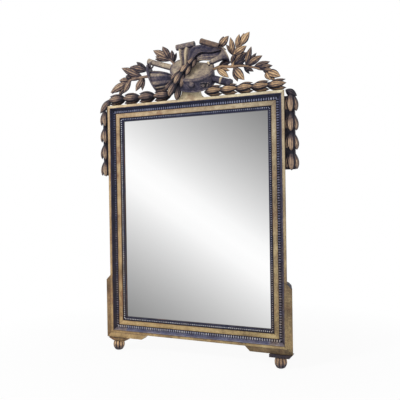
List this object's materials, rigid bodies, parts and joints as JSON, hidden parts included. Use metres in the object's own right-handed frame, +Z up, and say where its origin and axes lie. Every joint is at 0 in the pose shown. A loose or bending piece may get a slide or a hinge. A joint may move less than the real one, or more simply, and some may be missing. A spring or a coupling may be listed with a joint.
{
  "type": "carved giltwood wall mirror",
  "caption": "Upright wall mirror in a gilt moulded frame with bead courses, a pierced carved crest of musical instruments and laurel, hanging leaf garlands, lower ears and bun feet",
  "frame": {"origin": "On the wall plane behind the middle of the glass, on the outer face of the middle back board", "axes": "+X right as seen from the front, +Y into the wall, +Z up"},
  "size_m": [0.9422, 0.0996, 1.383],
  "materials": {
    "gilt_frame": "worn water gilding over reddish clay on wood",
    "dark_moulding": "blue-black paint, rubbed on the beads",
    "gilt_carving": "dark patinated gilding with dust in the hollows",
    "gilt_trophy": "patinated gilding and dark paint",
    "bare_wood": "bare aged softwood",
    "iron": "dull rusted iron",
    "brass": "tarnished brass",
    "mirror_plate": "silvered plate glass"
  },
  "bodies": {
    "mirror": {"top_rail": "gilt_frame", "bottom_rail": "gilt_frame", "left_stile": "gilt_frame", "right_stile": "gilt_frame", "left_side_ear": "gilt_frame", "right_side_ear": "gilt_frame", "left_bottom_ear": "gilt_frame", "right_bottom_ear": "gilt_frame", "left_foot_block": "gilt_frame", "right_foot_block": "gilt_frame", "top_cove_bead": "dark_moulding", "top_sight_bead": "dark_moulding", "bottom_cove_bead": "dark_moulding", "bottom_sight_bead": "dark_moulding", "left_cove_bead": "dark_moulding", "left_sight_bead": "dark_moulding", "right_cove_bead": "dark_moulding", "right_sight_bead": "dark_moulding", "crest_plinth": "gilt_carving", "leaf_chain": "gilt_carving", "left_branch": "gilt_carving", "right_branch": "gilt_carving", "left_sprig": "gilt_carving", "right_sprig": "gilt_carving", "left_garland": "gilt_carving", "right_garland": "gilt_carving", "left_drop": "gilt_carving", "right_drop": "gilt_carving", "left_foot": "gilt_carving", "right_foot": "gilt_carving", "tambourine": "gilt_trophy", "lute": "gilt_trophy", "lute_loop": "gilt_trophy", "flute": "gilt_trophy", "horn": "gilt_trophy", "music_score": "gilt_trophy", "left_back_board": "bare_wood", "middle_back_board": "bare_wood", "right_back_board": "bare_wood", "crest_batten": "bare_wood", "glazing_blocks": "bare_wood", "mitre_keys": "bare_wood", "crest_dowels": "bare_wood", "drop_pins": "bare_wood", "board_nails": "iron", "batten_screws": "iron", "hanger_screws": "iron", "left_strap": "brass", "right_strap": "brass", "mirror_glass": "mirror_plate"},
    "left_hanging_ring": {"left_ring": "brass"},
    "right_hanging_ring": {"right_ring": "brass"}
  },
  "joints": [
    {"name": "left_ring_swing", "type": "hinge", "parent": "mirror", "child": "left_hanging_ring", "pos_m": [-0.388, -0.00555, 0.28], "axis": [1, 0, 0], "range_deg": [0, 170]},
    {"name": "right_ring_swing", "type": "hinge", "parent": "mirror", "child": "right_hanging_ring", "pos_m": [0.388, -0.00555, 0.28], "axis": [1, 0, 0], "range_deg": [0, 170]}
  ]
}
